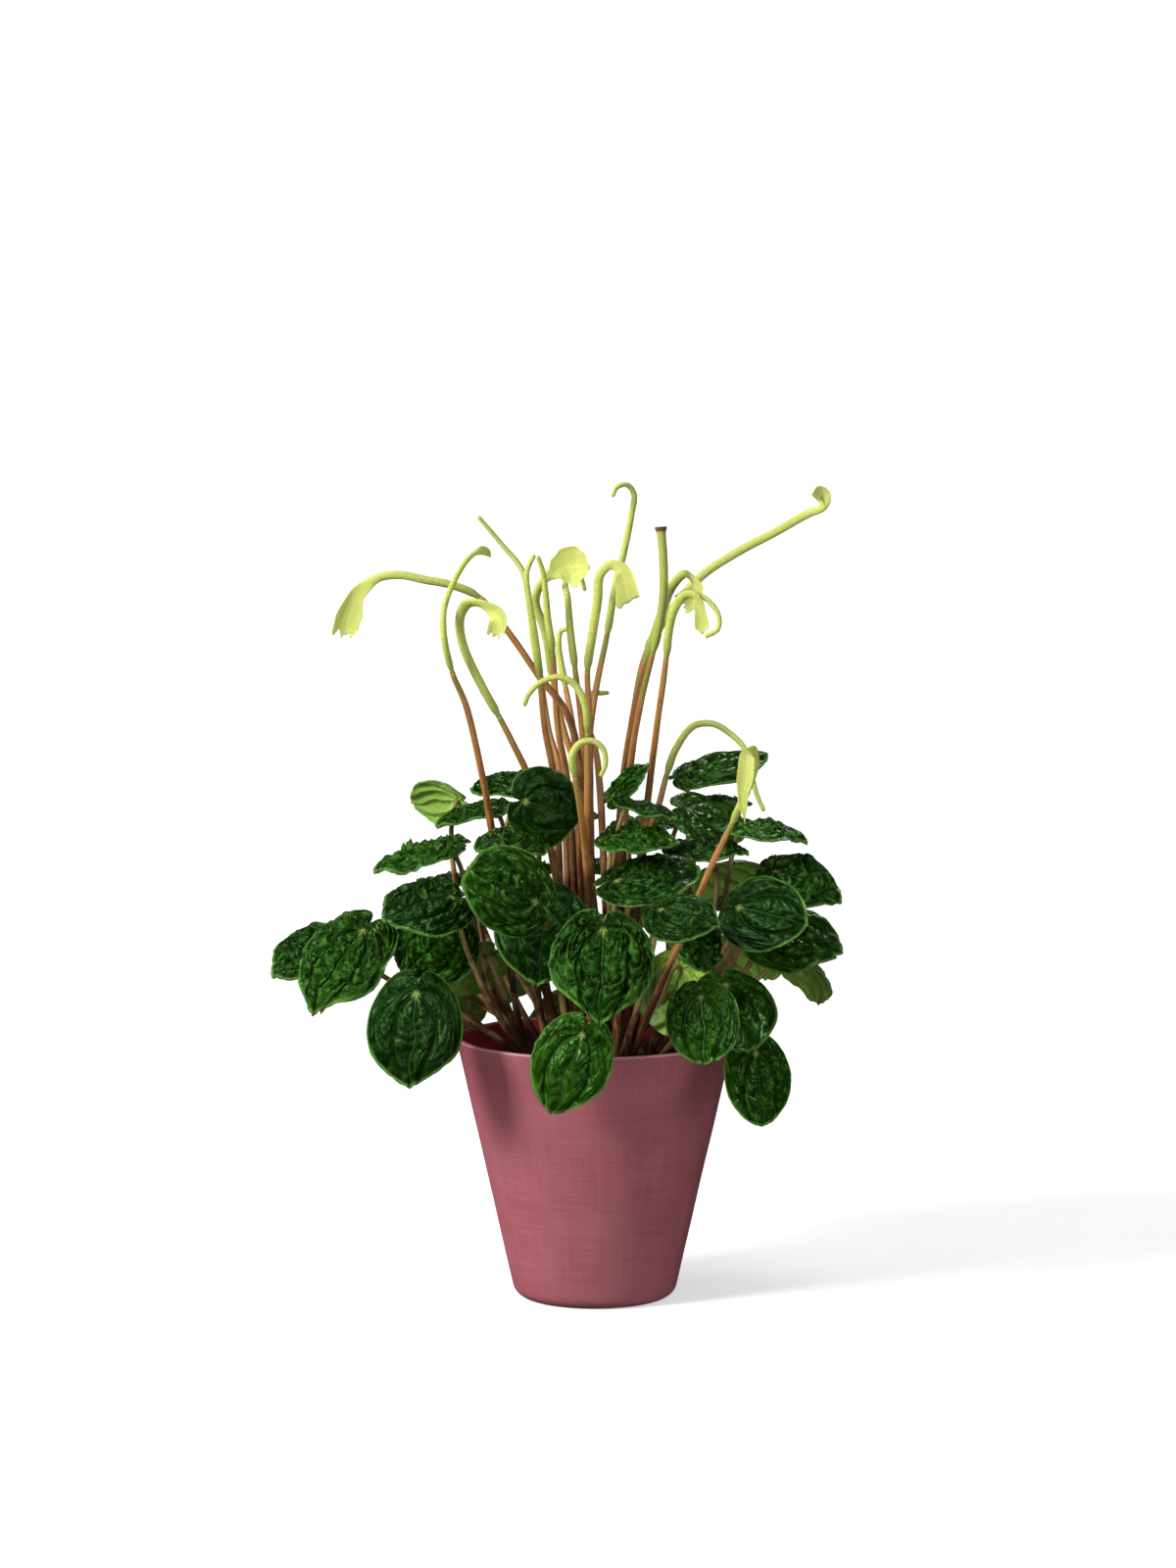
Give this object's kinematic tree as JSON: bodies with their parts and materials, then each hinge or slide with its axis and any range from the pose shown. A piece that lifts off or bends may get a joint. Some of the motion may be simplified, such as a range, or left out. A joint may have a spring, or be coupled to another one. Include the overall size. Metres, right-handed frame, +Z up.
{
  "type": "ripple peperomia in a pot",
  "caption": "Potted foliage plant with corrugated heart-shaped leaves on long petioles, and lime flower spikes on red-brown stalks, in a plain tapered pot.",
  "frame": {"origin": "centre of the pot's flat base", "axes": "+Z up along the pot's axis, -Y towards the side the plant is seen from, +X to that viewer's right"},
  "size_m": [0.2295, 0.1878, 0.3281],
  "materials": {
    "pot": "matte",
    "soil": "rough",
    "leaf": "glossy",
    "stalk": "satin",
    "spike": "matte"
  },
  "bodies": {
    "root": {"pot": "pot", "soil": "soil", "leafy_shoot_01": "leaf", "leafy_shoot_02": "leaf", "leafy_shoot_03": "leaf", "leafy_shoot_04": "leaf", "leafy_shoot_05": "leaf", "leafy_shoot_06": "leaf", "leafy_shoot_07": "leaf", "leafy_shoot_08": "leaf", "leafy_shoot_09": "leaf", "leafy_shoot_10": "leaf", "leafy_shoot_11": "leaf", "leafy_shoot_12": "leaf", "leafy_shoot_13": "leaf", "leafy_shoot_14": "leaf", "leafy_shoot_15": "leaf", "leafy_shoot_16": "leaf", "leafy_shoot_17": "leaf", "leafy_shoot_18": "leaf", "flower_stalk_01": "stalk", "flower_stalk_02": "stalk", "flower_stalk_03": "stalk", "flower_stalk_04": "stalk", "flower_stalk_05": "stalk", "flower_stalk_06": "stalk", "flower_stalk_07": "stalk", "flower_stalk_08": "stalk", "flower_stalk_09": "stalk", "flower_stalk_10": "stalk", "flower_stalk_11": "stalk", "flower_stalk_12": "stalk", "flower_stalk_13": "stalk", "flower_stalk_14": "stalk", "flower_stalk_15": "stalk", "flower_stalk_16": "stalk", "flower_stalk_17": "stalk", "flower_stalk_18": "stalk", "flower_stalk_19": "stalk", "flower_stalk_20": "stalk", "flower_spike_01": "spike", "flower_spike_02": "spike", "flower_spike_03": "spike", "flower_spike_04": "spike", "flower_spike_05": "spike", "flower_spike_06": "spike", "flower_spike_07": "spike", "flower_spike_08": "spike", "flower_spike_09": "spike", "flower_spike_10": "spike", "flower_spike_11": "spike", "flower_spike_12": "spike", "flower_spike_13": "spike", "flower_spike_14": "spike", "flower_spike_15": "spike", "flower_spike_16": "spike", "flower_spike_17": "spike", "flower_spike_18": "spike", "flower_spike_19": "spike", "flower_spike_20": "spike"}
  },
  "joints": []
}
